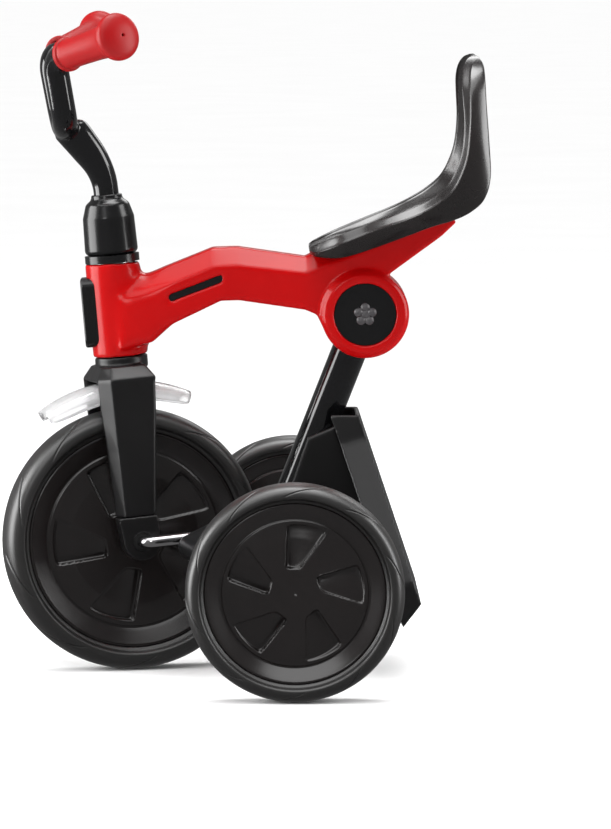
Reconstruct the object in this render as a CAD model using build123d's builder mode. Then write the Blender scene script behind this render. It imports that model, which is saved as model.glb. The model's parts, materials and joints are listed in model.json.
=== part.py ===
"""Children's folding tricycle, standing folded with its rear leg swung under the frame.

The front of the tricycle faces -X, the rider's right is +Y and +Z is up. The origin is
on the floor under the middle of the bounding box. Sizes are in millimetres.
"""
from build123d import *
from math import cos, degrees, radians, sin, tan
import os

os.makedirs("parts", exist_ok=True)

# ---- driving dimensions ------------------------------------------------------------
FRONT_RADIUS = 115.5          # front wheel
FRONT_WIDTH = 42
REAR_RADIUS = 93.0            # rear wheels
REAR_WIDTH = 40
TRACK = 430.0                 # between the middles of the rear wheels
FRONT_AXLE_X = -103.2
REAR_AXLE_X = 39.5
PIVOT_X, PIVOT_Z = 102.3, 315.0   # fold pivot of the rear leg
AXLE_R = 5.0                  # steel rods of both axles and of the pedal spindles
RUN = 0.05                    # radial clearance of a running fit
AIR = 0.4                     # gap between faces that turn past each other

HEAD_LEAN = 5.0               # the steering axis leans forwards, folded
TRAIL = 5.3                   # the front axle is this far ahead of the steering axis
FORK_TURN = 15.0              # the fork stands turned to the left
BAR_TURN = 5.0                # and so does the handlebar, a little less

HEAD_R = 24.3                 # moulded head tube
HEAD_LOW, HEAD_HIGH = 162.0, 244.0    # its ends, along the steering axis above the axle
STEERER_R = 13.0

FRAME_HALF = 28.0             # half width of the backbone
FRAME_TOP_HALF = 12.0         # half width of its flat top, between the bevels
WALL = 3.5
HUB_R = 38.6                  # round housing of the fold pivot
HUB_HALF = 34.0
HUB_DISC_R = 27.0             # black disc let into each side of the housing
LEG_HALF = 16.6               # half width of the leg's barrel
LEG_SLOT_HALF = 17.0          # and of the slot that it swings in
BARREL_R = 25.0
PIVOT_R = 6.0

LEG_R = 15.5                  # leg tube
LEG_ANGLE = -111.5            # its direction from the pivot, from +X towards +Z
LEG_LENGTH = 176.0
FOLD_TRAVEL = 90.0

BLADE_IN, BLADE_OUT = 26.0, 41.0      # side faces of the fork blades
CAP_SEAM = 22.0               # height of the seam of the fork's lower covers over the axle
CRANK = 55.0                  # crank radius
CRANK_Y = 53.0                # the crank arms lie this far out
PEDAL_IN, PEDAL_OUT = 63.0, 129.0
PEDAL_TILT = 20.0

BAR_R = 11.0                  # handlebar tube

SLEEVE_R = 18.0               # steel sleeve in the head tube
BUSH_LENGTH = 14.0
BADGE_PROUD = 5.3
DISC_RECESS, DISC_THICK = 10.0, 4.0
BUTTON_TRAVEL = 3.0
SHAFT_HALF = 24.0             # half length of the pivot shaft
SHAFT_BUSH_R = 9.0
SPRING_R = 15.0
INSERT_OUTLINE = [(-69, 326), (-22.5, 343.5), (-22.5, 350), (-69, 332)]
SCREW_PLACES = [(-88, 312), (-30, 338), (40, 336), (150, 381)]

CROWN_LOW, CROWN_TOP = 141.0, 153.0
STEERER_TOP = 292.0
CAP_R = 16.5
AXLE_BUSH_R = 8.0
FORK_FRONT = [(-BLADE_OUT, CAP_SEAM), (-BLADE_OUT, 137), (-30, CROWN_TOP), (30, CROWN_TOP), (BLADE_OUT, 137),
              (BLADE_OUT, CAP_SEAM), (BLADE_IN, CAP_SEAM), (BLADE_IN, CROWN_LOW), (-BLADE_IN, CROWN_LOW),
              (-BLADE_IN, CAP_SEAM)]
FORK_SIDE = [(-24, 0), (8, 0), (15, 80), (19, 118), (20, 138), (13, 160), (-23, 160), (-29.5, 138),
             (-26.5, 80)]
CAP_SIDE = [(-25, CAP_SEAM), (-TRAIL - CAP_R, 0), (-TRAIL, -10), (-TRAIL + CAP_R, 0), (9.9, CAP_SEAM)]
GUARD_TOP, GUARD_WALL = 139.5, 2.2
GUARD_SIDE = 25.2
GUARD_FRONT, GUARD_BACK = 34.0, 27.0      # how far it reaches from the top, in degrees
GUARD_SECTION = [(-GUARD_SIDE, 122), (-GUARD_SIDE, 131), (-15, GUARD_TOP), (15, GUARD_TOP), (GUARD_SIDE, 131),
                 (GUARD_SIDE, 122), (GUARD_SIDE - GUARD_WALL, 122), (GUARD_SIDE - GUARD_WALL, 130),
                 (14, GUARD_TOP - GUARD_WALL), (-14, GUARD_TOP - GUARD_WALL),
                 (GUARD_WALL - GUARD_SIDE, 130), (GUARD_WALL - GUARD_SIDE, 122)]
COLLAR_SECTION = [(STEERER_R, 251.2), (23.4, 251.2), (22.6, 284), (19, 296), (14, 300), (13.4, 304),
                  (BAR_R, 304), (BAR_R, STEERER_TOP), (STEERER_R, STEERER_TOP)]
STEM_PATH = [(0, 0, 262), (0, 0, 322), (-32, 0, 364)]
GRIP_INNER = (-25.3, 57, 430.3)           # middle of the grip's inner flange
GRIP_AXIS = (40.7, 68, 12.7)              # from there to its outer flange
BAR_HALF_PATH = [(-31, 27, 366)] + [
    tuple(at + share * along for at, along in zip(GRIP_INNER, GRIP_AXIS)) for share in (-0.28, 0.95)]
BAR_PATH = [(x, -y, z) for x, y, z in reversed(BAR_HALF_PATH)] + BAR_HALF_PATH
GRIP_SECTION = [(BAR_R, -2.5), (15, -2.5), (15, 2.5), (13.3, 4), (13.6, 30), (15, 60), (16, 72), (20.6, 75),
                (20.6, 83), (12, 88), (2.5, 88.5), (2.5, 80), (BAR_R, 80)]

RIM_SHARE, DISC_SHARE = 0.83, 0.69        # of a wheel's radius
POCKETS = 5
POCKET_FLOOR = 1.8            # distance of a pocket's floor from the middle of the wheel
FRONT_PHASE, REAR_PHASE = 24.0, 0.0
HUB_FACE = 9.0                # depth of a hub's face below the side of its wheel
HUB_BUSH_R = 8.0
COVER_THICK = 2.4             # plug that closes the outer end of a rear hub

SPINE_HALF = 22.0
SPINE_BOSS_R = 14.5
SPINE_SIDE = [(29, 140), (52, 206), (76, 216), (118, 112), (112, 92), (60, 78), (42, 79), (31, 93)]
SLEEVE_TUBE_R = 11.0
STEP_WIDE = 220.0
STEP_SIDE = [(71, 228), (97, 228), (150, 68), (134, 47), (128, 62)]
STEP_FACE = Plane(origin=(97, 0, 228), x_dir=(0, 1, 0), z_dir=(0.949, 0, 0.314))
STEP_PLAN = [(-42, 20), (42, 20), (46, -20), (104, -150), (96, -195), (-96, -195), (-104, -150), (-46, -20)]

# Each station of the seat, from its nose to the top of its back: the rim, the edge of the
# skirt under it, the half width there and the height of the dish's floor over the skirt.
SEAT_STATIONS = [((54, 373.5), (54, 370), 34, 2.6), ((60, 377.5), (60, 366), 47, 10),
                 ((78, 385.3), (82, 366.3), 62, 13.2), ((103, 395.5), (110, 375), 67, 12.6),
                 ((128, 405), (136, 385.3), 79, 11.2), ((146, 413), (158, 394.5), 94, 10.4),
                 ((160, 421.3), (178, 401), 101, 13.2), ((172, 432), (192, 408), 104, 13.5),
                 ((180, 447), (203.5, 419), 104, 15.5), ((184.5, 463), (210, 438), 102, 15.5),
                 ((186.2, 485), (208, 467), 98, 12.5), ((186.6, 505), (205.8, 500), 91, 9.5),
                 ((188, 520), (205, 520), 80, 8.5), ((191.5, 533), (204, 535), 62, 7.5),
                 ((197, 540), (201, 541), 42, 3)]
SEAT_FLOOR = 3.5              # thickness of the dish's floor
SEAT_RIM = 8.0                # width of the rim
SEAT_SCREWS = [(112, 389.1), (126, 393.9)]

# ---- frames of reference -----------------------------------------------------------
AXIS_Z = FRONT_RADIUS + TRAIL * cos(radians(FORK_TURN)) * sin(radians(HEAD_LEAN))
AXIS_X = FRONT_AXLE_X + TRAIL * cos(radians(FORK_TURN)) * cos(radians(HEAD_LEAN))
LEAN_SIN, LEAN_COS = sin(radians(HEAD_LEAN)), cos(radians(HEAD_LEAN))
HEAD = Plane(origin=(AXIS_X, 0, AXIS_Z), x_dir=(LEAN_COS, 0, LEAN_SIN), z_dir=(-LEAN_SIN, 0, LEAN_COS))
FORK = Plane(HEAD.location * Location((0, 0, 0), (0, 0, FORK_TURN)))
BAR = Plane(HEAD.location * Location((0, 0, 0), (0, 0, BAR_TURN)))


def within(frame, local):
    """The plane that lies in frame as local lies in the world."""
    return Plane(frame.location * local.location)


SHARP = 0.5                   # a corner that turns less than this many degrees stays as it is


def soft_radii(points, largest):
    """A radius for each corner of a closed outline: largest, or what its two sides have room for."""
    radii = []
    for index, corner in enumerate(points):
        before = Vector(*corner) - Vector(*points[index - 1])
        after = Vector(*points[(index + 1) % len(points)]) - Vector(*corner)
        turn = before.get_angle(after)
        room = 0.45 * min(before.length, after.length)
        radii.append(min(largest, room / tan(radians(turn) / 2)) if turn > SHARP else 0)
    return radii


def soft_outline(points, largest):
    """Closed outline through points with its corners rounded."""
    return FilletPolyline(*points, radius=soft_radii(points, largest), close=True)


def save(builder, label):
    builder.part.label = label
    export_step(builder.part, f"parts/{label}.step")


def polar(radius, angle):
    return (radius * cos(radians(angle)), radius * sin(radians(angle)))


# ---- frame shells ------------------------------------------------------------------
TOP_LINE = [(-112, 343), (-88, 349.5), (-31, 372.5), (-9, 373), (50, 364.5), (64, 373), (82, 375.5),
            (102, 381), (128, 390), (154, 399), (171, 407)]
TAIL = [(182.5, 396), (168.4, 382.8), (124, 350.5), (116, 330), (104, 304)]
UNDER_LINE = [(66, 302), (60, 314.5), (50, 318.8), (-8, 327.2), (-24, 326.7), (-66, 306.5),
              (-84, 290), (-112, 284)]
BEVEL_DROP = [16, 16, 16, 15.5, 13.5, 16, 12, 9, 7, 5, 4]


def direction_in(frame, vector):
    """World direction of a vector given in a frame's axes."""
    return frame.from_local_coords(vector) - frame.from_local_coords(Vector(0, 0, 0))


def frame_outline(drop):
    """Side outline of the backbone, its top line lowered by drop times the bevel's height."""
    lowered = [(x, z - drop * fall) for (x, z), fall in zip(TOP_LINE, BEVEL_DROP)]
    return lowered + TAIL + UNDER_LINE


def slot_outline(reach):
    """The room that the leg tube sweeps, from its folded to its open place, about the pivot."""
    low, high = LEG_ANGLE - 2, LEG_ANGLE + FOLD_TRAVEL + 2
    half = LEG_R + 1
    first = [(half * sin(radians(low)), -half * cos(radians(low)))]
    last = [(-half * sin(radians(high)), half * cos(radians(high)))]
    fan = [polar(reach, low - 14 + (high - low + 28) * step / 6) for step in range(7)]
    return first + fan + last


def frame_shell(side):
    """One half of the moulded frame; side is -1 for the left half and 1 for the right."""
    with BuildPart() as shell:
        with BuildSketch(Plane.XZ.offset(-side * FRAME_TOP_HALF)):
            Polygon(*frame_outline(0), align=None)
        with BuildSketch(Plane.XZ.offset(-side * FRAME_HALF)):
            Polygon(*frame_outline(1), align=None)
        loft(ruled=True)
        with BuildSketch(Plane.XZ):
            Polygon(*frame_outline(0), align=None)
        extrude(amount=-side * FRAME_TOP_HALF)
        with BuildSketch(Plane.XZ):
            Polygon(*frame_outline(1), align=None)
            offset(amount=-WALL, kind=Kind.INTERSECTION)
        extrude(amount=-side * (FRAME_HALF - WALL), mode=Mode.SUBTRACT)
        with BuildSketch(Plane.XZ):
            with Locations((PIVOT_X, PIVOT_Z)):
                Circle(HUB_R)
        extrude(amount=-side * HUB_HALF)
        rims = shell.edges().filter_by(GeomType.CIRCLE).sort_by(Axis.Y)
        chamfer(rims[-1] if side > 0 else rims[0], 4)
        with BuildSketch(within(HEAD, Plane.XY.offset(HEAD_LOW))):
            Circle(HEAD_R)
        extrude(amount=HEAD_HIGH - HEAD_LOW)
        with BuildSketch(within(HEAD, Plane.XY.offset(HEAD_LOW - 5))):
            Circle(SLEEVE_R)
        extrude(amount=HEAD_HIGH - HEAD_LOW + 10, mode=Mode.SUBTRACT)
        with BuildSketch(Plane.XZ.offset(-side * HUB_HALF)):
            with Locations((PIVOT_X, PIVOT_Z)):
                Circle(HUB_DISC_R + AIR)
        extrude(amount=side * DISC_RECESS, mode=Mode.SUBTRACT)
        with BuildSketch(Plane.XZ):
            with Locations((PIVOT_X, PIVOT_Z)):
                Circle(BARREL_R + AIR)
                Polygon(*slot_outline(95), align=None)
        extrude(amount=-side * LEG_SLOT_HALF, mode=Mode.SUBTRACT)
        with BuildSketch(Plane.XZ):
            with Locations((PIVOT_X, PIVOT_Z)):
                Circle(SHAFT_BUSH_R)
            Polygon(*INSERT_OUTLINE, align=None)
        extrude(amount=-side * HUB_HALF, mode=Mode.SUBTRACT)
        with BuildSketch(Plane.XY):
            Rectangle(1000, 500, align=(Align.CENTER, Align.MIN if side < 0 else Align.MAX))
        extrude(amount=700, mode=Mode.SUBTRACT)
    return shell


for name, side in (("frame_left_shell", -1), ("frame_right_shell", 1)):
    half = frame_shell(side)
    save(half, name)

# ---- parts fixed in the frame ------------------------------------------------------
with BuildPart() as head_sleeve:
    with BuildSketch(within(HEAD, Plane.XY.offset(HEAD_LOW))):
        Circle(SLEEVE_R)
        Circle(SLEEVE_R - 2, mode=Mode.SUBTRACT)
    extrude(amount=HEAD_HIGH - HEAD_LOW)
save(head_sleeve, "head_sleeve")

with BuildPart() as headset_bushes:
    for height in (HEAD_LOW, HEAD_HIGH - BUSH_LENGTH):
        with BuildSketch(within(HEAD, Plane.XY.offset(height))):
            Circle(SLEEVE_R - 2)
            Circle(STEERER_R + RUN, mode=Mode.SUBTRACT)
        extrude(amount=BUSH_LENGTH)
save(headset_bushes, "headset_bushes")

with BuildPart() as head_badge:
    with BuildSketch(within(HEAD, Plane.YZ.offset(-HEAD_R - BADGE_PROUD))):
        with Locations((0, (HEAD_LOW + HEAD_HIGH) / 2 - 1)):
            RectangleRounded(34, 61, 8)
    extrude(amount=14)
    fillet(head_badge.faces().sort_by(Axis.X)[0].edges(), 2)
    with BuildSketch(within(HEAD, Plane.XY.offset(HEAD_LOW))):
        Circle(HEAD_R)
    extrude(amount=HEAD_HIGH - HEAD_LOW, mode=Mode.SUBTRACT)
save(head_badge, "head_badge")

for name, side in (("slot_insert_left", -1), ("slot_insert_right", 1)):
    with BuildPart() as insert:
        with BuildSketch(Plane.XZ.offset(-side * (FRAME_HALF - WALL))):
            Polygon(*INSERT_OUTLINE, align=None)
        extrude(amount=-side * (WALL - 1.2))
    save(insert, name)

with BuildPart() as pivot_shaft:
    with BuildSketch(Plane.XZ.offset(-SHAFT_HALF)):
        with Locations((PIVOT_X, PIVOT_Z)):
            Circle(PIVOT_R)
    extrude(amount=2 * SHAFT_HALF)
save(pivot_shaft, "pivot_shaft")

with BuildPart() as pivot_bushes:
    for side in (-1, 1):
        with BuildSketch(Plane.XZ.offset(-side * LEG_SLOT_HALF)):
            with Locations((PIVOT_X, PIVOT_Z)):
                Circle(SHAFT_BUSH_R)
                Circle(PIVOT_R, mode=Mode.SUBTRACT)
        extrude(amount=-side * (SHAFT_HALF - LEG_SLOT_HALF))
save(pivot_bushes, "pivot_bushes")

with BuildPart() as hub_cap:
    with BuildSketch(Plane.XZ.offset(-HUB_HALF + DISC_RECESS)):
        with Locations((PIVOT_X, PIVOT_Z)):
            Circle(HUB_DISC_R)
    extrude(amount=-DISC_THICK - BUTTON_TRAVEL - AIR)
save(hub_cap, "hub_cap_right")

with BuildPart() as release_button:
    with BuildSketch(Plane.XZ.offset(HUB_HALF - DISC_RECESS + BUTTON_TRAVEL + AIR)):
        with Locations((PIVOT_X, PIVOT_Z)):
            Circle(HUB_DISC_R)
    extrude(amount=DISC_THICK)
save(release_button, "release_button")

with BuildPart() as release_spring:
    with BuildSketch(Plane.XZ.offset(SHAFT_HALF)):
        with Locations((PIVOT_X, PIVOT_Z)):
            Circle(SPRING_R)
            Circle(SPRING_R - 1.2, mode=Mode.SUBTRACT)
    extrude(amount=HUB_HALF - DISC_RECESS + BUTTON_TRAVEL + AIR - SHAFT_HALF)
save(release_spring, "release_spring")

with BuildPart() as frame_screws:
    for x, z in SCREW_PLACES:
        with BuildSketch(Plane.XZ.offset(-FRAME_HALF)):
            with Locations((x, z)):
                Circle(3.6)
        extrude(amount=-1.6)
save(frame_screws, "frame_screws")

# ---- seat --------------------------------------------------------------------------


def seat_section(height, half, floor):
    """Section of the seat shell at one station, across the seat and up from the skirt's edge."""
    under = floor - min(SEAT_FLOOR, floor / 2)
    rim = min(SEAT_RIM, height)
    right = [(0.93 * half, 0), (half, 0.6 * height), (half - 0.3 * rim, height), (half - rim, height - 1),
             (0.55 * half, floor)]
    below = [(0.55 * half, under), (half - rim, 0.5 * (under + height) - 1.5), (0.93 * half - 3, 0)]
    left = [(-y, h) for y, h in reversed(right)]
    below_left = [(-y, h) for y, h in reversed(below)]
    return right + left + below_left + below


with BuildPart() as seat:
    for (rim_x, rim_z), (low_x, low_z), half, floor in SEAT_STATIONS:
        rise = Vector(rim_x - low_x, 0, rim_z - low_z)
        with BuildSketch(Plane(origin=(low_x, 0, low_z), x_dir=(0, 1, 0), z_dir=Vector(0, 1, 0).cross(rise))):
            Polygon(*seat_section(rise.length, half, floor), align=None)
    loft(ruled=True)
save(seat, "seat")

with BuildPart() as seat_screws:
    for x, z in SEAT_SCREWS:
        for y in (-15, 15):
            with BuildSketch(Plane(origin=(x, y, z), z_dir=(-0.322, 0, 0.947))):
                Circle(4)
            extrude(amount=1.8)
save(seat_screws, "seat_screws")

# ---- steering ----------------------------------------------------------------------
with BuildPart() as steerer:
    with BuildSketch(within(FORK, Plane.XY.offset(CROWN_LOW))):
        Circle(STEERER_R)
        Circle(STEERER_R - 1.6, mode=Mode.SUBTRACT)
    extrude(amount=STEERER_TOP - 8 - CROWN_LOW)
save(steerer, "steerer_tube")

with BuildPart() as fork:
    with BuildSketch(within(FORK, Plane.YZ.offset(-60))):
        Polygon(*FORK_FRONT, align=None)
    extrude(amount=120)
    with BuildSketch(within(FORK, Plane.XZ.offset(-60))):
        with BuildLine():
            soft_outline(FORK_SIDE, 8)
        make_face()
    extrude(amount=120, mode=Mode.INTERSECT)
    with BuildSketch(within(FORK, Plane.XY.offset(CROWN_TOP))):
        Circle(HEAD_R - 1.3)
    extrude(amount=HEAD_LOW - AIR - CROWN_TOP)
    with BuildSketch(within(FORK, Plane.XY.offset(CROWN_LOW))):
        Circle(STEERER_R)
    extrude(amount=60, mode=Mode.SUBTRACT)
save(fork, "fork")

for name, side in (("fork_cap_left", -1), ("fork_cap_right", 1)):
    with BuildPart() as cap:
        with BuildSketch(within(FORK, Plane.XZ.offset(-side * BLADE_IN))):
            with Locations((-TRAIL, 0)):
                Circle(CAP_R)
            Polygon(*CAP_SIDE, align=None)
        extrude(amount=-side * (BLADE_OUT - BLADE_IN + 1.2))
        with BuildSketch(within(FORK, Plane.XZ.offset(-side * BLADE_IN))):
            with Locations((-TRAIL, 0)):
                Circle(AXLE_BUSH_R)
        extrude(amount=-side * 30, mode=Mode.SUBTRACT)
    save(cap, name)

with BuildPart() as axle_bushes:
    for side in (-1, 1):
        with BuildSketch(within(FORK, Plane.XZ.offset(-side * BLADE_IN))):
            with Locations((-TRAIL, 0)):
                Circle(AXLE_BUSH_R)
                Circle(AXLE_R + RUN, mode=Mode.SUBTRACT)
        extrude(amount=-side * (BLADE_OUT - BLADE_IN))
save(axle_bushes, "front_axle_bushes")

with BuildPart() as mudguard:
    with BuildSketch(within(FORK, Plane.YZ.offset(-TRAIL))):
        with BuildLine():
            soft_outline(GUARD_SECTION, 7)
        make_face()
    spindle = Axis(FORK.from_local_coords(Vector(-TRAIL, 0, 0)), FORK.y_dir)
    revolve(axis=spindle, revolution_arc=GUARD_BACK)
    with BuildSketch(within(FORK, Plane.YZ.offset(-TRAIL))):
        with BuildLine():
            soft_outline(GUARD_SECTION, 7)
        make_face()
    revolve(axis=spindle, revolution_arc=-GUARD_FRONT)
save(mudguard, "mudguard")

with BuildPart() as mudguard_screws:
    for x in (-12, 4):
        with BuildSketch(within(FORK, Plane.XY.offset(GUARD_TOP - GUARD_WALL - 3.5))):
            with Locations((x, 0)):
                Circle(3.5)
        extrude(amount=2.2)
save(mudguard_screws, "mudguard_screws")

with BuildPart() as collar_ring:
    with BuildSketch(within(BAR, Plane.XY.offset(HEAD_HIGH + AIR))):
        Circle(HEAD_R - 0.4)
        Circle(STEERER_R, mode=Mode.SUBTRACT)
    extrude(amount=6.6)
save(collar_ring, "collar_ring")

with BuildPart() as steering_collar:
    with BuildSketch(within(BAR, Plane.XZ)):
        with BuildLine():
            soft_outline(COLLAR_SECTION, 6)
        make_face()
    revolve(axis=Axis(BAR.origin, BAR.z_dir))
save(steering_collar, "steering_collar")

with BuildPart() as handlebar:
    with BuildLine(BAR):
        FilletPolyline(*BAR_PATH, radius=[18, 23, 23, 18])
    start = Vector(*BAR_PATH[0])
    ahead = Vector(*BAR_PATH[1]) - start
    with BuildSketch(Plane(BAR.from_local_coords(start), z_dir=direction_in(BAR, ahead))):
        Circle(BAR_R)
    sweep()
save(handlebar, "handlebar")

with BuildPart() as stem:
    with BuildLine(BAR):
        FilletPolyline(*STEM_PATH, radius=52)
    with BuildSketch(within(BAR, Plane.XY.offset(STEM_PATH[0][2]))):
        Circle(BAR_R)
    sweep()
    add(handlebar.part, mode=Mode.SUBTRACT)
save(stem, "handlebar_stem")

for name, side in (("grip_left", -1), ("grip_right", 1)):
    inner = Vector(GRIP_INNER[0], side * GRIP_INNER[1], GRIP_INNER[2])
    outward = Vector(GRIP_AXIS[0], side * GRIP_AXIS[1], GRIP_AXIS[2])
    stand = Plane(BAR.from_local_coords(inner), z_dir=direction_in(BAR, outward))
    with BuildPart() as grip:
        with BuildSketch(within(stand, Plane.XZ)):
            with BuildLine():
                soft_outline(GRIP_SECTION, 3)
            make_face()
        revolve(axis=Axis(stand.origin, stand.z_dir))
    save(grip, name)

# ---- wheels ------------------------------------------------------------------------


def pocket_outline(radius, turn):
    """One fan-shaped pocket of a wheel disc of this radius, turned about the axle."""
    corners = ((0.88, 96.6), (0.97, 63), (0.35, 77), (0.39, 112))
    return [polar(radius * share, angle + turn) for share, angle in corners]


def wheel_shell(spot, radius, width, side, phase, bore_r):
    """Dished half of a wheel; spot's Z is the axle and side tells which face of the wheel it is."""
    half = width / 2
    rim_r, disc_r = RIM_SHARE * radius, DISC_SHARE * radius
    outside = [(bore_r, half - HUB_FACE), (12, half - HUB_FACE), (0.25 * radius, half - 11),
               (disc_r, half - 14.5), (disc_r + 1.5, half - 12), (rim_r - 2, half - 6), (rim_r, half - 7),
               (rim_r, 0)]
    inside = [(rim_r - 3, 0), (rim_r - 3, half - 9.5), (disc_r + 1, half - 15.5), (disc_r - 1, 0),
              (bore_r, 0)]
    with BuildPart() as shell:
        with BuildSketch(within(spot, Plane.XZ)):
            Polygon(*[(r, side * a) for r, a in outside + inside], align=None)
        revolve(axis=Axis(spot.origin, spot.z_dir))
        with BuildSketch(spot.offset(side * POCKET_FLOOR)):
            for count in range(POCKETS):
                with BuildLine():
                    soft_outline(pocket_outline(disc_r, phase + count * 360 / POCKETS), 5)
                make_face()
        extrude(amount=side * half, mode=Mode.SUBTRACT)
    return shell


def tyre(spot, radius, width):
    half = width / 2
    section = [(RIM_SHARE * radius, 5 - half), (0.862 * radius, -half), (radius, -half), (radius, half),
               (0.862 * radius, half), (RIM_SHARE * radius, half - 5)]
    with BuildPart() as ring:
        with BuildSketch(within(spot, Plane.XZ)):
            with BuildLine():
                FilletPolyline(*section, radius=[0, 2, 0.1 * radius, 0.1 * radius, 2, 0], close=True)
            make_face()
        revolve(axis=Axis(spot.origin, spot.z_dir))
    return ring


def bush(spot, radius, bore, length):
    with BuildPart() as sleeve:
        with BuildSketch(spot.offset(-length / 2)):
            Circle(radius)
            Circle(bore, mode=Mode.SUBTRACT)
        extrude(amount=length)
    return sleeve


front_spot = within(FORK, Plane(origin=(-TRAIL, 0, 0), x_dir=(1, 0, 0), z_dir=(0, -1, 0)))
rear_spots = {name: Plane(origin=(REAR_AXLE_X, side * TRACK / 2, REAR_RADIUS), x_dir=(1, 0, 0),
                          z_dir=(0, -1, 0)) for name, side in (("left", -1), ("right", 1))}

save(tyre(front_spot, FRONT_RADIUS, FRONT_WIDTH), "front_tyre")
save(wheel_shell(front_spot, FRONT_RADIUS, FRONT_WIDTH, 1, FRONT_PHASE, AXLE_R), "front_wheel_left_shell")
save(wheel_shell(front_spot, FRONT_RADIUS, FRONT_WIDTH, -1, FRONT_PHASE, AXLE_R), "front_wheel_right_shell")

HUB_END = REAR_WIDTH / 2 - HUB_FACE - COVER_THICK    # where the bush ends and the plug begins
for name, spot in rear_spots.items():
    outer = 1 if name == "left" else -1
    save(tyre(spot, REAR_RADIUS, REAR_WIDTH), f"{name}_rear_tyre")
    for face, away in (("outer", outer), ("inner", -outer)):
        half_wheel = wheel_shell(spot, REAR_RADIUS, REAR_WIDTH, away, REAR_PHASE, HUB_BUSH_R)
        save(half_wheel, f"{name}_rear_{face}_shell")
    save(bush(spot, HUB_BUSH_R, AXLE_R + RUN, 2 * HUB_END), f"{name}_rear_bush")
    with BuildPart() as cover:
        with BuildSketch(spot.offset(outer * HUB_END)):
            Circle(HUB_BUSH_R)
        extrude(amount=outer * COVER_THICK)
    save(cover, f"{name}_rear_hub_cover")

# ---- cranks and pedals ---------------------------------------------------------------
CRANK_PATH = [(CRANK - TRAIL, -PEDAL_OUT - 3, 0), (CRANK - TRAIL, -CRANK_Y, 0), (-TRAIL, -CRANK_Y, 0),
              (-TRAIL, CRANK_Y, 0), (-TRAIL - CRANK, CRANK_Y, 0), (-TRAIL - CRANK, PEDAL_OUT + 3, 0)]
with BuildPart() as crank_rod:
    with BuildLine(FORK):
        FilletPolyline(*CRANK_PATH, radius=9)
    with BuildSketch(within(FORK, Plane(origin=CRANK_PATH[0], z_dir=(0, 1, 0)))):
        Circle(AXLE_R)
    sweep()
save(crank_rod, "crank_rod")

for name, side in (("left", -1), ("right", 1)):
    out = within(FORK, Plane(origin=(-side * CRANK - TRAIL, side * PEDAL_IN, 0), x_dir=(1, 0, 0),
                             z_dir=(0, side, 0)))
    with BuildPart() as pedal:
        with BuildSketch(Plane(out.location * Location((0, 0, 0), (0, 0, -side * PEDAL_TILT)))):
            RectangleRounded(62, 23, 11)
        extrude(amount=PEDAL_OUT - PEDAL_IN)
        fillet(pedal.edges().filter_by(lambda edge: abs(edge.tangent_at(0).dot(out.z_dir)) < 0.01), 4)
        with BuildSketch(out):
            Circle(AXLE_R + RUN)
        extrude(amount=PEDAL_OUT, mode=Mode.SUBTRACT)
    save(pedal, f"{name}_pedal")
    with BuildPart() as pedal_cap:
        with BuildSketch(out.offset(PEDAL_OUT - PEDAL_IN + 3)):
            Circle(8)
        extrude(amount=3)
        fillet(pedal_cap.edges().filter_by(GeomType.CIRCLE), 1.2)
    save(pedal_cap, f"{name}_pedal_cap")

# ---- rear leg ------------------------------------------------------------------------
LEG = Plane(origin=(PIVOT_X, 0, PIVOT_Z), x_dir=(0, 1, 0),
            z_dir=(cos(radians(LEG_ANGLE)), 0, sin(radians(LEG_ANGLE))))
with BuildPart() as leg:
    with BuildSketch(LEG.offset(BARREL_R - 8)):
        Circle(LEG_R)
    extrude(amount=LEG_LENGTH - BARREL_R + 8)
    with BuildSketch(Plane.XZ.offset(-LEG_HALF)):
        with Locations((PIVOT_X, PIVOT_Z)):
            Circle(BARREL_R)
    extrude(amount=2 * LEG_HALF)
    with BuildSketch(Plane.XZ.offset(-LEG_HALF)):
        with Locations((PIVOT_X, PIVOT_Z)):
            Circle(PIVOT_R + RUN)
    extrude(amount=2 * LEG_HALF, mode=Mode.SUBTRACT)
    with BuildSketch(LEG.offset(BARREL_R + 4)):
        Circle(LEG_R - 2)
    extrude(amount=LEG_LENGTH, mode=Mode.SUBTRACT)
save(leg, "leg_tube")

with BuildPart() as spine:
    with BuildSketch(Plane.XZ.offset(-SPINE_HALF)):
        Polygon(*SPINE_SIDE, align=None)
        with Locations((REAR_AXLE_X, REAR_RADIUS)):
            Circle(SPINE_BOSS_R)
    extrude(amount=2 * SPINE_HALF)
    with BuildSketch(LEG.offset(BARREL_R)):
        Circle(LEG_R)
    extrude(amount=LEG_LENGTH - BARREL_R, mode=Mode.SUBTRACT)
    with BuildSketch(Plane.XZ.offset(-SPINE_HALF)):
        with Locations((REAR_AXLE_X, REAR_RADIUS)):
            Circle(AXLE_R)
    extrude(amount=2 * SPINE_HALF, mode=Mode.SUBTRACT)
save(spine, "rear_spine")

with BuildPart() as step:
    with BuildSketch(Plane.XZ.offset(-STEP_WIDE / 2)):
        Polygon(*STEP_SIDE, align=None)
    extrude(amount=STEP_WIDE)
    with BuildSketch(STEP_FACE.offset(-60)):
        with BuildLine():
            soft_outline(STEP_PLAN, 18)
        make_face()
    extrude(amount=120, mode=Mode.INTERSECT)
    with BuildSketch(STEP_FACE.offset(-60)):
        with BuildLine():
            soft_outline(STEP_PLAN, 18)
        make_face()
        offset(amount=-WALL)
    extrude(amount=60 - WALL, mode=Mode.SUBTRACT)
save(step, "rear_step")

with BuildPart() as axle:
    with BuildSketch(Plane.XZ.offset(-TRACK / 2 - HUB_END + AIR)):
        with Locations((REAR_AXLE_X, REAR_RADIUS)):
            Circle(AXLE_R)
    extrude(amount=TRACK + 2 * HUB_END - 2 * AIR)
save(axle, "rear_axle")

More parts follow.
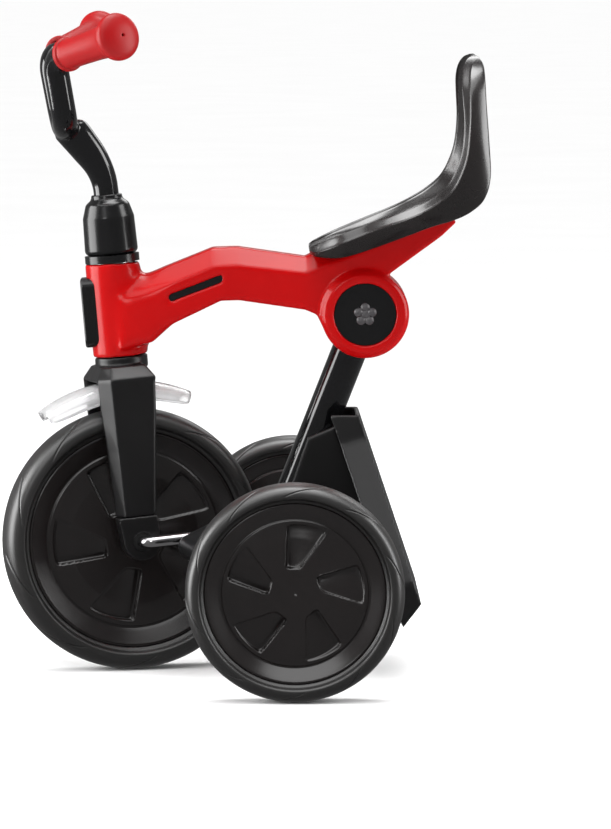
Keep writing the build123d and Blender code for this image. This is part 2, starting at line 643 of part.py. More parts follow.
for name, side in (("left", -1), ("right", 1)):
    reach = TRACK / 2 - REAR_WIDTH / 2 - AIR
    with BuildPart() as tube:
        with BuildSketch(Plane.XZ.offset(-side * SPINE_HALF)):
            with Locations((REAR_AXLE_X, REAR_RADIUS)):
                Circle(SLEEVE_TUBE_R)
                Circle(AXLE_R, mode=Mode.SUBTRACT)
        extrude(amount=-side * (reach - SPINE_HALF))
    save(tube, f"axle_tube_{name}")
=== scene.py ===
"""Looks of the folding tricycle: materials, moulded skins, lights and camera."""
import json
import math

import bmesh
import bpy
from mathutils import Matrix, Vector


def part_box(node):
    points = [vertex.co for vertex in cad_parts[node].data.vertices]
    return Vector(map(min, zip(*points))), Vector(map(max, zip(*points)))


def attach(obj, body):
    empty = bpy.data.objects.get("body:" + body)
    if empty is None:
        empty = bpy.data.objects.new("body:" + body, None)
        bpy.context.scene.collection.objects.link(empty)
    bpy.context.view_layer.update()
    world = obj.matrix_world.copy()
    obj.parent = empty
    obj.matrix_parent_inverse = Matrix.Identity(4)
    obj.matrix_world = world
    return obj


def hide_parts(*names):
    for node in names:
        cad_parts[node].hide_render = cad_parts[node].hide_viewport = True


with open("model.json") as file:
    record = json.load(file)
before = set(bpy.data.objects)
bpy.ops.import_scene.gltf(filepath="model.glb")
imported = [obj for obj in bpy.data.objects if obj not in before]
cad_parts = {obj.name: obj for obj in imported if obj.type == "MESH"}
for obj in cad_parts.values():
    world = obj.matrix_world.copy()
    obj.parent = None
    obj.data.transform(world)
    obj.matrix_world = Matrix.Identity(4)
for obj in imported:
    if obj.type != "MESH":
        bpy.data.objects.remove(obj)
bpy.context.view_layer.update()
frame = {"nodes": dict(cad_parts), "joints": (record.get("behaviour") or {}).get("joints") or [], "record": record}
NODES = frame["nodes"]
JOINTS = {joint["name"]: joint for joint in frame["joints"]}


# ---- materials ---------------------------------------------------------------------
def new_material(name):
    material = bpy.data.materials.new(name)
    material.use_nodes = True
    tree = material.node_tree
    return material, tree, tree.nodes["Principled BSDF"]


def link(tree, source, target):
    tree.links.new(source, target)


def noise(tree, scale, detail=4.0, rough=0.55, stretch=(1, 1, 1)):
    """A noise texture on object coordinates; returns its factor output."""
    coords = tree.nodes.new("ShaderNodeTexCoord")
    mapping = tree.nodes.new("ShaderNodeMapping")
    mapping.inputs["Scale"].default_value = stretch
    texture = tree.nodes.new("ShaderNodeTexNoise")
    texture.inputs["Scale"].default_value = scale
    texture.inputs["Detail"].default_value = detail
    texture.inputs["Roughness"].default_value = rough
    link(tree, coords.outputs["Object"], mapping.inputs["Vector"])
    link(tree, mapping.outputs["Vector"], texture.inputs["Vector"])
    return texture.outputs["Fac"]


RAMP_PLACES = (0.3, 0.7)      # most of a noise's values lie between these


def ramp(tree, source, dark, light):
    """Colour ramp from dark to light over a noise's usual values."""
    node = tree.nodes.new("ShaderNodeValToRGB")
    for element, place, colour in zip(node.color_ramp.elements, RAMP_PLACES, (dark, light)):
        element.position = place
        element.color = (*colour, 1)
    link(tree, source, node.inputs["Fac"])
    return node.outputs["Color"]


def spread(tree, source, low, high):
    """Maps a 0 to 1 factor on low to high."""
    node = tree.nodes.new("ShaderNodeMapRange")
    node.inputs["To Min"].default_value = low
    node.inputs["To Max"].default_value = high
    link(tree, source, node.inputs["Value"])
    return node.outputs["Result"]


def bump(tree, shader, source, strength, distance):
    node = tree.nodes.new("ShaderNodeBump")
    node.inputs["Strength"].default_value = strength
    node.inputs["Distance"].default_value = distance
    link(tree, source, node.inputs["Height"])
    link(tree, node.outputs["Normal"], shader.inputs["Normal"])


def tint(colour, factor):
    return tuple(channel * factor for channel in colour)


COLOUR_SPREAD = 0.12          # share by which a moulded colour varies, either way
ROUGH_SPREAD = 0.06           # and by how much its roughness does
COAT_ROUGHNESS = 0.06


def moulded(name, colour, rough, grain_size, grain, coat=0.0, specular=0.36):
    """Moulded plastic: slightly uneven colour and gloss over a fine grain."""
    material, tree, shader = new_material(name)
    cloud = noise(tree, 9.0)
    shade = ramp(tree, cloud, tint(colour, 1 - COLOUR_SPREAD), tint(colour, 1 + COLOUR_SPREAD))
    link(tree, shade, shader.inputs["Base Color"])
    smear = noise(tree, 38.0, detail=6.0)
    gloss = spread(tree, smear, rough - ROUGH_SPREAD, rough + ROUGH_SPREAD)
    link(tree, gloss, shader.inputs["Roughness"])
    shader.inputs["Specular IOR Level"].default_value = specular
    shader.inputs["Coat Weight"].default_value = coat
    shader.inputs["Coat Roughness"].default_value = COAT_ROUGHNESS
    bump(tree, shader, noise(tree, grain_size), grain, 0.0004)
    return material


def metal(name, colour, rough, streak):
    """Bare metal, with its grain drawn out into streaks where streak is over 1."""
    material, tree, shader = new_material(name)
    shader.inputs["Metallic"].default_value = 1.0
    grain = noise(tree, 220.0, stretch=(1, streak, 1))
    link(tree, ramp(tree, grain, tint(colour, 0.9), colour), shader.inputs["Base Color"])
    link(tree, spread(tree, grain, rough * 0.7, rough * 1.4), shader.inputs["Roughness"])
    bump(tree, shader, grain, 0.05, 0.0002)
    return material


def clear_plastic():
    """Frosted clear plastic: mostly see-through, with a slightly uneven gloss."""
    material, tree, shader = new_material("clear_plastic")
    cloud = noise(tree, 60.0)
    link(tree, ramp(tree, cloud, (0.97, 0.97, 0.98), (1.0, 1.0, 1.0)), shader.inputs["Base Color"])
    link(tree, spread(tree, cloud, 0.12, 0.24), shader.inputs["Roughness"])
    shader.inputs["IOR"].default_value = 1.45
    shader.inputs["Transmission Weight"].default_value = 0.78
    bump(tree, shader, noise(tree, 400.0), 0.05, 0.0003)
    return material


MATERIALS = {
    "red_plastic": moulded("red_plastic", (0.34, 0.0010, 0.0014), 0.24, 900.0, 0.02, coat=0.10,
                           specular=0.14),
    "red_grip": moulded("red_grip", (0.27, 0.0015, 0.0025), 0.40, 700.0, 0.08, specular=0.24),
    "seat_plastic": moulded("seat_plastic", (0.0065, 0.0045, 0.0045), 0.27, 800.0, 0.006, coat=0.2,
                            specular=0.7),
    "black_plastic": moulded("black_plastic", (0.0035, 0.0035, 0.0038), 0.24, 900.0, 0.03, coat=0.1),
    "charcoal_plastic": moulded("charcoal_plastic", (0.0045, 0.0042, 0.0045), 0.36, 1400.0, 0.08),
    "wheel_plastic": moulded("wheel_plastic", (0.0065, 0.0048, 0.0047), 0.24, 1200.0, 0.05, specular=0.6),
    "tyre_foam": moulded("tyre_foam", (0.0050, 0.0042, 0.0040), 0.42, 500.0, 0.06, specular=0.85),
    "clear_plastic": clear_plastic(),
    "black_paint": moulded("black_paint", (0.0030, 0.0030, 0.0034), 0.12, 1500.0, 0.012, coat=0.4),
    "pedal_plastic": moulded("pedal_plastic", (0.006, 0.006, 0.0065), 0.30, 1200.0, 0.12),
    "chrome_steel": metal("chrome_steel", (0.42, 0.41, 0.42), 0.16, 1.0),
    "emblem_grey": moulded("emblem_grey", (0.055, 0.052, 0.055), 0.30, 900.0, 0.03),
    "bush_plastic": moulded("bush_plastic", (0.008, 0.008, 0.008), 0.45, 1200.0, 0.08),
    "zinc_steel": metal("zinc_steel", (0.62, 0.62, 0.63), 0.28, 6.0),
}


def dress_nodes():
    """Gives each CAD node the material of its slot in the record."""
    for part in frame["record"]["subparts"]:
        mesh = NODES[part["node"]].data
        mesh.materials.clear()
        mesh.materials.append(MATERIALS[part["material_slot"]])


# ---- frames of reference -----------------------------------------------------------
MM = 0.001
STEER, SPIN = JOINTS["steer"], JOINTS["front_wheel_spin"]
TRAIL = 5.3                   # the front axle is this far ahead of the steering axis, in mm
BAR_TURN = math.radians(-10)  # the handlebar stands turned by this much from the fork


def frame_matrix(origin, x_axis, y_axis, z_axis):
    """Matrix from millimetres in a local frame to the shared frame."""
    matrix = Matrix((x_axis * MM, y_axis * MM, z_axis * MM)).transposed().to_4x4()
    matrix.translation = origin
    return matrix


STEER_AXIS, SPIN_AXIS = Vector(STEER["axis"]), Vector(SPIN["axis"])
FORK_AHEAD = SPIN_AXIS.cross(STEER_AXIS)
AXLE = Vector(SPIN["pos_m"])
STEER_FOOT = Vector(STEER["pos_m"]) + STEER_AXIS * (AXLE - Vector(STEER["pos_m"])).dot(STEER_AXIS)
FORK = frame_matrix(STEER_FOOT, FORK_AHEAD, SPIN_AXIS, STEER_AXIS)


def wheel_frame(centre, across, up, out):
    """Frame of one wheel face: right, up and outwards as seen from that face's outside."""
    return frame_matrix(centre, across, up, out)


# ---- mesh helpers ------------------------------------------------------------------
SMOOTH_FACTOR = 0.5
MELT_GAIN = 2.2               # how fast melting comes in from its edge: full strength by 1 / 2.2 of the way


def new_piece(name, vertices, faces, slot, body, nodes=(), matrix=None):
    """Makes a smooth-shaded piece, dressed in a slot's material, that rides on a body."""
    mesh = bpy.data.meshes.new(name)
    place = matrix or Matrix.Scale(MM, 4)
    mesh.from_pydata([place @ Vector(vertex) for vertex in vertices], [], faces)
    return finish_piece(bpy.data.objects.new(name, mesh), slot, body, nodes)


def finish_piece(piece, slot, body, nodes):
    """Dresses a piece, puts it in the scene and ties it to its body and to the nodes it replaces."""
    shaped = bmesh.new()
    shaped.from_mesh(piece.data)
    bmesh.ops.recalc_face_normals(shaped, faces=shaped.faces)
    shaped.to_mesh(piece.data)
    shaped.free()
    piece.data.materials.clear()
    piece.data.materials.append(MATERIALS[slot])
    piece.data.shade_smooth()
    if piece.name not in bpy.context.scene.collection.objects:
        bpy.context.scene.collection.objects.link(piece)
    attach(piece, body)
    if nodes:
        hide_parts(*nodes)
    return piece


def apply_modifiers(piece):
    """Freezes a piece's modifiers into its mesh."""
    graph = bpy.context.evaluated_depsgraph_get()
    frozen = bpy.data.meshes.new_from_object(piece.evaluated_get(graph))
    piece.modifiers.clear()
    piece.data = frozen


def softened(name, mesh, voxel, passes, slot, body, nodes=()):
    """Fuses a mesh and rounds its edges, as a mould does, by a fine remesh and some smoothing."""
    piece = bpy.data.objects.new(name, mesh)
    bpy.context.scene.collection.objects.link(piece)
    remesh = piece.modifiers.new("remesh", "REMESH")
    remesh.mode = "VOXEL"
    remesh.voxel_size = voxel * MM
    smooth = piece.modifiers.new("smooth", "SMOOTH")
    smooth.factor = SMOOTH_FACTOR
    smooth.iterations = passes
    apply_modifiers(piece)
    return finish_piece(piece, slot, body, nodes)


def node_skin(node, body, slot, voxel, passes):
    """A rounded skin over one CAD node."""
    return softened(f"{node}_skin", NODES[node].data.copy(), voxel, passes, slot, body, [node])


def merged_skin(name, nodes, body, slot, voxel, passes, more=()):
    """One rounded skin over several CAD nodes of a body, and over more meshes."""
    shaped = bmesh.new()
    for mesh in [NODES[node].data for node in nodes] + list(more):
        shaped.from_mesh(mesh)
    mesh = bpy.data.meshes.new(name)
    shaped.to_mesh(mesh)
    shaped.free()
    return softened(name, mesh, voxel, passes, slot, body, nodes)


def melt(piece, centre, reach, passes):
    """Smooths a piece strongly inside an ellipsoid, so that its parts there flow into each other."""
    group = piece.vertex_groups.new(name="melt")
    for vertex in piece.data.vertices:
        away = Vector((gap / size for gap, size in zip(vertex.co - centre, reach))).length
        if away < 1:
            group.add([vertex.index], min(1.0, MELT_GAIN * (1 - away)), "REPLACE")
    smooth = piece.modifiers.new("melt", "SMOOTH")
    smooth.factor = SMOOTH_FACTOR
    smooth.iterations = passes
    smooth.vertex_group = "melt"
    apply_modifiers(piece)
    piece.vertex_groups.clear()
    piece.data.shade_smooth()


def grid_faces(rows, columns, wrap_rows):
    """Quads of a grid that closes round its columns, and round its rows too if wrap_rows."""
    faces = []
    for row in range(rows if wrap_rows else rows - 1):
        for column in range(columns):
            after, beside = (row + 1) % rows, (column + 1) % columns
            faces.append((row * columns + column, row * columns + beside,
                          after * columns + beside, after * columns + column))
    return faces


def curve_through(points, steps):
    """Points along a Catmull-Rom curve through a list of equally long tuples."""
    result = []
    last = len(points) - 1
    for index in range(last):
        p0, p1, p2, p3 = (points[max(0, min(last, index + shift))] for shift in (-1, 0, 1, 2))
        for step in range(steps):
            t = step / steps
            result.append(tuple(
                0.5 * (2 * b + (c - a) * t + (2 * a - 5 * b + 4 * c - d) * t * t
                       + (3 * b - a - 3 * c + d) * t * t * t) for a, b, c, d in zip(p0, p1, p2, p3)))
    return result + [tuple(points[-1])]


def value_at(table, place):
    """Straight-line value of a table of (place, value) pairs."""
    for (low, at_low), (high, at_high) in zip(table, table[1:]):
        if place <= high:
            return at_low + (at_high - at_low) * (place - low) / (high - low)
    return table[-1][1]


# ---- wheels ------------------------------------------------------------------------
POCKETS = 5
DISC_SHARE, RING_SHARE, RIM_SHARE = 0.68, 0.81, 0.83
POCKET_STEP = 2.0             # depth of a pocket all round its edge
POCKET_SCOOP = 5.2            # and how much deeper it gets towards its far side
POCKET_WALL = 0.7             # the wall falls off over this distance
POCKET_CORNERS = ((0.97, 62), (0.33, 78), (0.36, 112), (0.92, 97))     # (share of the disc, degrees)
POCKET_OUTER = 0.93           # share of the disc's radius where a pocket's curved side lies
POCKET_MIDDLE = math.radians(84)
CORNER_SOFTNESS = 1.3
SNAP = 0.5                    # vertices nearer to a pocket's outline than this move onto it
NUDGE = 0.05                  # step for measuring the outline's direction
DISC_COLUMNS = 360


def pocket_edges(disc_r):
    """The three straight sides of a pocket as (point, inward normal), for the pocket at the top."""
    corners = [Vector((math.cos(math.radians(angle)), math.sin(math.radians(angle)))) * disc_r * share
               for share, angle in POCKET_CORNERS]
    edges = []
    for start, end in zip(corners, corners[1:]):
        along = (end - start).normalized()
        edges.append((start, Vector((along.y, -along.x))))
    return edges


def pocket_distance(spot, edges, disc_r):
    """How far a spot lies inside the pocket's rounded outline, and its share of the way across."""
    distances = [(spot - start).dot(normal) for start, normal in edges]
    across = distances[0] / max(distances[0] + distances[2], 0.01)
    distances.append(POCKET_OUTER * disc_r - spot.length)
    lowest = min(distances)
    blend = sum(math.exp((lowest - distance) / CORNER_SOFTNESS) for distance in distances)
    return lowest - CORNER_SOFTNESS * math.log(blend), across


def wheel_skin(name, place, radius, half, bore, phase, body, nodes, blind=False):
    """One moulded half of a wheel, with its scooped pockets and its sloping ring."""
    disc_r, ring_r, rim_r = (share * radius for share in (DISC_SHARE, RING_SHARE, RIM_SHARE))
    start = 0.3 if blind else bore
    profile = [(start, half - 9), (0.2 * radius, half - 9.2), (0.5 * radius, half - 10.2),
               (disc_r - 2, half - 12), (disc_r, half - 13.5), (disc_r + 0.8, half - 13),
               (ring_r - 1, half - 6.5), (ring_r, half - 6), (rim_r, half - 6.6)]
    rings = [start, start + 2.7] + [value for value in range(math.ceil(start) + 5, int(disc_r) - 1)]
    rings += [disc_r - 2, disc_r - 1, disc_r, disc_r + 0.8, disc_r + 4, ring_r - 4, ring_r - 1, ring_r,
              ring_r + 0.6, rim_r]
    columns = DISC_COLUMNS
    edges = pocket_edges(disc_r)
    pitch = 2 * math.pi / POCKETS
    first = math.radians(phase)
    vertices = []
    for ring in rings:
        for column in range(columns):
            angle = 2 * math.pi * column / columns
            turn = round((angle - first - POCKET_MIDDLE) / pitch) * pitch + first
            spot = Vector((ring * math.cos(angle - turn), ring * math.sin(angle - turn)))
            inside, across = pocket_distance(spot, edges, disc_r)
            if abs(inside) < SNAP and ring < disc_r - 2:
                slope = Vector((pocket_distance(spot + Vector((NUDGE, 0)), edges, disc_r)[0] - inside,
                                pocket_distance(spot + Vector((0, NUDGE)), edges, disc_r)[0] - inside))
                slope /= NUDGE
                spot -= slope * inside / max(slope.length_squared, 0.2)
                inside = 0.0
            depth = 0.0
            if inside > 0:
                scoop = POCKET_STEP + POCKET_SCOOP * max(0.0, min(1.0, across)) ** 1.5
                depth = scoop * (1 - math.exp(-inside / POCKET_WALL))
            vertices.append((spot.x * math.cos(turn) - spot.y * math.sin(turn),
                             spot.x * math.sin(turn) + spot.y * math.cos(turn),
                             value_at(profile, ring) - depth))
    back = [(rim_r, 0.05), (bore, 0.05)]
    if blind:
        back += [(bore, half - 11.2), (start, half - 11.2)]
    for ring, height in back:
        for column in range(columns):
            angle = 2 * math.pi * column / columns
            vertices.append((ring * math.cos(angle), ring * math.sin(angle), height))
    faces = grid_faces(len(rings) + len(back), columns, True)
    return new_piece(name, vertices, faces, "wheel_plastic", body, nodes, place)


GROOVES = 10
GROOVE_SWEEP = math.radians(24)
GROOVE_DEPTH = 0.9
GROOVE_STEPS = ((-1.1, 0), (-0.45, 0.5), (0, 1), (0.45, 0.5), (1.1, 0))     # (mm along the tread, share)


def tyre_section(radius, half):
    """Half section of a tyre from the tread's middle to its bead: (across, radius, along the groove)."""
    wall = 0.105 * radius
    shoulder = []
    for step in range(13):
        turn = math.radians(7.5 * step)
        shoulder.append((half * math.sin(turn) ** 0.78, radius - wall + wall * math.cos(turn) ** 0.82,
                         step / 12))
    bead = [(half, 0.885 * radius, 1), (half - 0.7, 0.872 * radius, 1), (half - 2.4, 0.864 * radius, 1),
            (half - 4.6, 0.855 * radius, 1), (half - 5.6, 0.845 * radius, 1), (half - 6, 0.8305 * radius, 1),
            (0.4, 0.8305 * radius, 1)]
    return shoulder + bead


def tyre_skin(name, place, radius, half, body, node):
    """A smooth foam tyre with thin grooves that sweep across its shoulders."""
    right = tyre_section(radius, half)
    left = [(-across, r, share) for across, r, share in reversed(right[1:])]
    section = right + left
    count = len(section)
    columns = []
    for groove in range(GROOVES):
        start = 2 * math.pi * groove / GROOVES
        columns += [(start + shift / radius, depth) for shift, depth in GROOVE_STEPS]
        gap = 2 * math.pi / GROOVES
        columns += [(start + gap * step / 13, 0) for step in range(1, 13)]
    vertices = []
    for index, (across, r, share) in enumerate(section):
        before, after = section[index - 1], section[(index + 1) % count]
        tangent = Vector((after[0] - before[0], after[1] - before[1])).normalized()
        normal = Vector((-tangent.y, tangent.x))
        fade = max(0.0, min(1.0, 8 * share, 9 * (0.97 - share)))
        for angle, depth in columns:
            sink = GROOVE_DEPTH * depth * fade
            turned = angle + GROOVE_SWEEP * share ** 1.4
            ring = r - normal.y * sink
            vertices.append((ring * math.cos(turned), ring * math.sin(turned), across - normal.x * sink))
    faces = grid_faces(count, len(columns), True)
    return new_piece(name, vertices, faces, "tyre_foam", body, [node], place)


# Radius, half width and the angle of the first pocket of each kind of wheel, in mm and degrees.
FRONT_RADIUS, FRONT_HALF, FRONT_PHASE = 115.5, 21.0, 24.0
REAR_RADIUS, REAR_HALF, REAR_PHASE = 93.0, 20.0, 0.0
ACROSS, UP = Vector((1, 0, 0)), Vector((0, 0, 1))


def wheels():
    leftward = wheel_frame(AXLE, FORK_AHEAD, STEER_AXIS, -SPIN_AXIS)
    rightward = wheel_frame(AXLE, FORK_AHEAD, STEER_AXIS, SPIN_AXIS)
    tyre_skin("front_tyre_skin", leftward, FRONT_RADIUS, FRONT_HALF, "front_wheel", "front_tyre")
    for side, place in (("left", leftward), ("right", rightward)):
        wheel_skin(f"front_wheel_{side}_skin", place, FRONT_RADIUS, FRONT_HALF, 5, FRONT_PHASE,
                   "front_wheel", [f"front_wheel_{side}_shell"])
    for side, away in (("left", -1), ("right", 1)):
        centre = Vector(JOINTS[f"{side}_wheel_spin"]["pos_m"])
        body = f"{side}_rear_wheel"
        tyre_skin(f"{side}_rear_tyre_skin", wheel_frame(centre, ACROSS, UP, Vector((0, away, 0))),
                  REAR_RADIUS, REAR_HALF, body, f"{side}_rear_tyre")
        for face, out in (("outer", away), ("inner", -away)):
            nodes = [f"{side}_rear_{face}_shell"] + [f"{side}_rear_hub_cover"] * (face == "outer")
            wheel_skin(f"{side}_rear_{face}_skin", wheel_frame(centre, ACROSS, UP, Vector((0, out, 0))),
                       REAR_RADIUS, REAR_HALF, 8, REAR_PHASE, body, nodes, blind=face == "outer")


# ---- seat --------------------------------------------------------------------------
# Rim, skirt edge, half width and height of the dish's floor, from the nose to the top of the back.
SEAT_STATIONS = [(53.4, 372.6, 53.4, 371.6, 20, 0.6), (54, 374, 54, 369.5, 34, 2.8),
                 (60, 377.5, 60, 366, 47, 9.6), (78, 385.3, 82, 366.3, 62, 13.0),
                 (103, 395.5, 110, 375, 67, 12.4), (128, 405, 136, 385.3, 79, 11.2),
                 (146, 413, 158, 394.5, 94, 10.4), (160, 421.3, 178, 401, 101, 13.2),
                 (172, 432, 192, 408, 103.6, 13.5), (180, 447, 203.5, 419, 103.6, 15.5),
                 (184.5, 463, 209, 438, 102, 15.5), (186.2, 485, 208, 467, 98, 12.5),
                 (185.2, 505, 205.8, 500, 91, 10.5), (184.6, 520, 205, 520, 82, 11.0),
                 (186.2, 531, 204, 533, 68, 10.0), (190.2, 538.2, 201.2, 539.4, 52, 6.0),
                 (195.5, 541.2, 198.6, 541.5, 34, 1.4)]
SEAT_WALL = 3.5


def seat_half_section(half, height, floor):
    """Half section of the seat, from under its middle round the skirt and rim to the dish's middle."""
    thin = min(1.0, height / 12)
    under = max(0.15 * height, floor - SEAT_WALL)
    return [(0, under), (0.35 * half, under), (0.7 * half, under + 0.1 * height),
            (half - 9 * thin, 0.3 * height), (0.94 * half - 3 * thin, 0.04 * height),
            (0.94 * half - 1.2 * thin, 0), (0.95 * half, 0.06 * height), (0.985 * half, 0.36 * height),
            (half, height - 7.6 * thin), (half - 1.1 * thin, height - 6.6 * thin),
            (half - 4.6 * thin, height - 0.9 * thin), (half - 5.8 * thin, height),
            (half - 7.4 * thin, height - 0.7 * thin), (half - 9.4 * thin, height - 3 * thin),
            (0.72 * half, floor + 0.12 * (height - floor)), (0.4 * half, floor), (0, floor)]


def seat_skin():
    """The seat: a thin dished shell with a bevelled rim, lofted through its stations."""
    stations = curve_through(SEAT_STATIONS, 7)
    vertices = []
    for rim_x, rim_z, low_x, low_z, half, floor in stations:
        rise = Vector((rim_x - low_x, 0, rim_z - low_z))
        up = rise.normalized()
        outline = curve_through(seat_half_section(half, rise.length, floor), 4)
        loop = outline + [(-y, h) for y, h in reversed(outline[1:-1])]
        count = len(loop)
        vertices += [(low_x + up.x * h, y, low_z + up.z * h) for y, h in loop]
    faces = grid_faces(len(stations), count, False)
    faces.append(tuple(range(count)))
    faces.append(tuple(reversed(range(len(vertices) - count, len(vertices)))))
    return new_piece("seat_shell", vertices, faces, "seat_plastic", "frame", ["seat"])


# ---- fork and mudguard -------------------------------------------------------------
def prism(sections):
    """Vertices and faces of a solid lofted through (height, outline) sections."""
    count = len(sections[0][1])
    vertices = [(x, y, z) for z, outline in sections for x, y in outline]
    faces = grid_faces(len(sections), count, False)
    faces.append(tuple(reversed(range(count))))
    faces.append(tuple(range(len(vertices) - count, len(vertices))))
    return vertices, faces


def joined_mesh(name, solids, matrix):
    """One mesh of several solids, moved from a local frame to the shared one."""
    vertices, faces = [], []
    for points, sides in solids:
        faces += [tuple(index + len(vertices) for index in side) for side in sides]
        vertices += points
    mesh = bpy.data.meshes.new(name)
    mesh.from_pydata([matrix @ Vector(vertex) for vertex in vertices], [], faces)
    shaped = bmesh.new()
    shaped.from_mesh(mesh)
    bmesh.ops.recalc_face_normals(shaped, faces=shaped.faces)
    shaped.to_mesh(mesh)
    shaped.free()
    return mesh


BLADE_OUT, BLADE_IN, CAP_SEAM = 41.0, 26.0, 22.0
# Height, front and back of the side face, and front of the fork's inner edge.
BLADE = [(CAP_SEAM + 0.3, -18, 10, -24), (80, -19, 15, -26.5), (118, -19.5, 18.5, -29),
         (143, -20, 20, -29.5)]
CROWN_FOOT = [(-20, -41), (-29.5, -28), (-29.5, 28), (-20, 41), (20, 41), (20, -41)]
CROWN_TOP = [(-17, -31), (-23, -20), (-23, 20), (-17, 31), (14, 31), (14, -31)]
FORK_COLLAR = 23.2            # radius of the round collar above the crown


def ring_outline(radius, count=48):
    return [(radius * math.cos(2 * math.pi * step / count), radius * math.sin(2 * math.pi * step / count))
            for step in range(count)]


def fork_skin():
    """The moulded fork: two bevelled blades, the crown over the wheel and the collar above it."""
    solids = []
    for side in (-1, 1):
        blade = [(z, [(front, side * BLADE_OUT), (nose, side * (BLADE_IN + 2.5)), (nose, side * BLADE_IN),
                      (back, side * BLADE_IN), (back, side * (BLADE_OUT - 2)), (back - 2, side * BLADE_OUT)])
                 for z, front, back, nose in BLADE]
        solids.append(prism(blade))
    solids.append(prism([(141, CROWN_FOOT), (143.5, CROWN_FOOT), (154, CROWN_TOP)]))
    solids.append(prism([(150, ring_outline(FORK_COLLAR)), (161.4, ring_outline(FORK_COLLAR))]))
    mesh = joined_mesh("fork_raw", solids, FORK)
    return softened("fork_skin", mesh, 1.1, 5, "charcoal_plastic", "steering", ["fork"])


GUARD_TOP = 139.5             # radius of the mudguard's ridge, from the front axle
GUARD_WALL = 2.0
GUARD_ENDS = (-31.0, 27.0)    # from the top of the wheel, in degrees, forwards and backwards
GUARD_HALF = 25.0
GUARD_ROUNDING = 0.75         # below 1, the trough's section is squarer than a half circle


def guard_skin():
    """The clear mudguard, a thin curved trough that narrows towards its ends."""
    rows = []
    steps, across = 44, 28
    for step in range(steps + 1):
        share = step / steps
        angle = math.radians(GUARD_ENDS[0] + (GUARD_ENDS[1] - GUARD_ENDS[0]) * share)
        tip = 1 - abs(2 * share - 1) ** 5
        half = GUARD_HALF * (0.72 + 0.28 * tip ** 0.5)
        skirt = 11.0 + 5.0 * tip ** 0.8
        for wall in (0.0, GUARD_WALL):
            row = []
            for place in range(across + 1):
                turn = math.pi * (place / across - 0.5)
                y = (half - wall) * math.copysign(abs(math.sin(turn)) ** GUARD_ROUNDING, turn)
                r = GUARD_TOP - wall - (skirt - wall) * (1 - math.cos(turn) ** GUARD_ROUNDING)
                row.append((-TRAIL + r * math.sin(angle), y, r * math.cos(angle)))
            rows.append(row)
    loops = [rows[2 * step] + list(reversed(rows[2 * step + 1])) for step in range(steps + 1)]
    count = len(loops[0])
    vertices = [vertex for loop in loops for vertex in loop]
    faces = grid_faces(len(loops), count, False)
    for base in (0, len(vertices) - count):
        for place in range(across):
            far = base + count - 1 - place
            faces.append((base + place, base + place + 1, far - 1, far))
    return new_piece("mudguard_skin", vertices, faces, "clear_plastic", "steering", ["mudguard"], FORK)


# ---- handlebar ---------------------------------------------------------------------
GRIP_INNER = (-25.3, 57, 430.3)           # middle of a grip's inner flange, and from there to its end
GRIP_ALONG = (40.7, 68, 12.7)
# Radius and distance along the grip, of its outside and then of its bore's end.
GRIP_SECTION = [(11.2, -2.5), (14.2, -2.5), (15, -1.4), (15, 1.4), (14.2, 2.6), (13.4, 4.6), (13.4, 20),
                (14, 45), (15, 62), (16.3, 70), (19, 73.8), (20.4, 76.2), (20.6, 79.4), (20.1, 81.8),
                (18.4, 83.8), (15, 85.7), (9, 87.4), (2.6, 88), (1.2, 87.4), (0.9, 84.5), (0.3, 84)]
GRIP_BACK = [(0.3, 81), (11.2, 81)]


def grip_skin(name, side, node):
    """A soft grip that swells into a domed end flange."""
    bar = FORK @ Matrix.Rotation(BAR_TURN, 4, "Z")
    inner, along = (Vector((x, side * y, z)) for x, y, z in (GRIP_INNER, GRIP_ALONG))
    out = (bar.to_3x3() @ along).normalized()
    across = out.orthogonal().normalized()
    place = frame_matrix(bar @ inner, across, out.cross(across), out)
    section = curve_through(GRIP_SECTION, 4) + GRIP_BACK
    columns = 96
    vertices = [(x, y, height) for r, height in section for x, y in ring_outline(r, columns)]
    faces = grid_faces(len(section), columns, True)
    return new_piece(name, vertices, faces, "red_grip", "steering", [node], place)


# The bent stem's middle line, and its radius, from inside the collar to its rounded top.
STEM = [(0, 262, 11), (0, 296, 11), (-1, 318, 11.2), (-7, 337, 11.6), (-15.5, 353, 11.6), (-21, 364, 10.6),
        (-23, 368.5, 8), (-24, 371, 3)]
STEM_JOINT = (-27, 0, 359)    # where the stem meets the bar
STEM_JOINT_REACH = (0.024, 0.034, 0.022)


def stem_solid():
    """Vertices and faces of the stem, swept along its middle line."""
    vertices = []
    path = curve_through(STEM, 4)
    columns = 40
    for index, (x, z, radius) in enumerate(path):
        before, after = path[max(0, index - 1)], path[min(len(path) - 1, index + 1)]
        ahead = Vector((after[0] - before[0], 0, after[1] - before[1])).normalized()
        beside = Vector((ahead.z, 0, -ahead.x))
        vertices += [(x + beside.x * u, v, z + beside.z * u) for u, v in ring_outline(radius, columns)]
    faces = grid_faces(len(path), columns, False)
    faces.append(tuple(reversed(range(columns))))
    faces.append(tuple(range(len(vertices) - columns, len(vertices))))
    return vertices, faces


def bar_skins():
    """The handlebar with its stem as one rounded piece, and the two grips."""
    place = FORK @ Matrix.Rotation(BAR_TURN, 4, "Z")
    stem = joined_mesh("stem", [stem_solid()], place)
    bar = merged_skin("bar_skin", ["handlebar", "handlebar_stem"], "steering", "black_paint", 1.0, 6,
                      [stem])
    melt(bar, place @ Vector(STEM_JOINT), STEM_JOINT_REACH, 40)
    for side, name in ((-1, "left"), (1, "right")):
        grip_skin(f"grip_{name}_skin", side, f"grip_{name}")


# ---- hub emblem --------------------------------------------------------------------
PETALS, PETAL_REACH, PETAL_RADIUS = 5, 6.2, 4.0


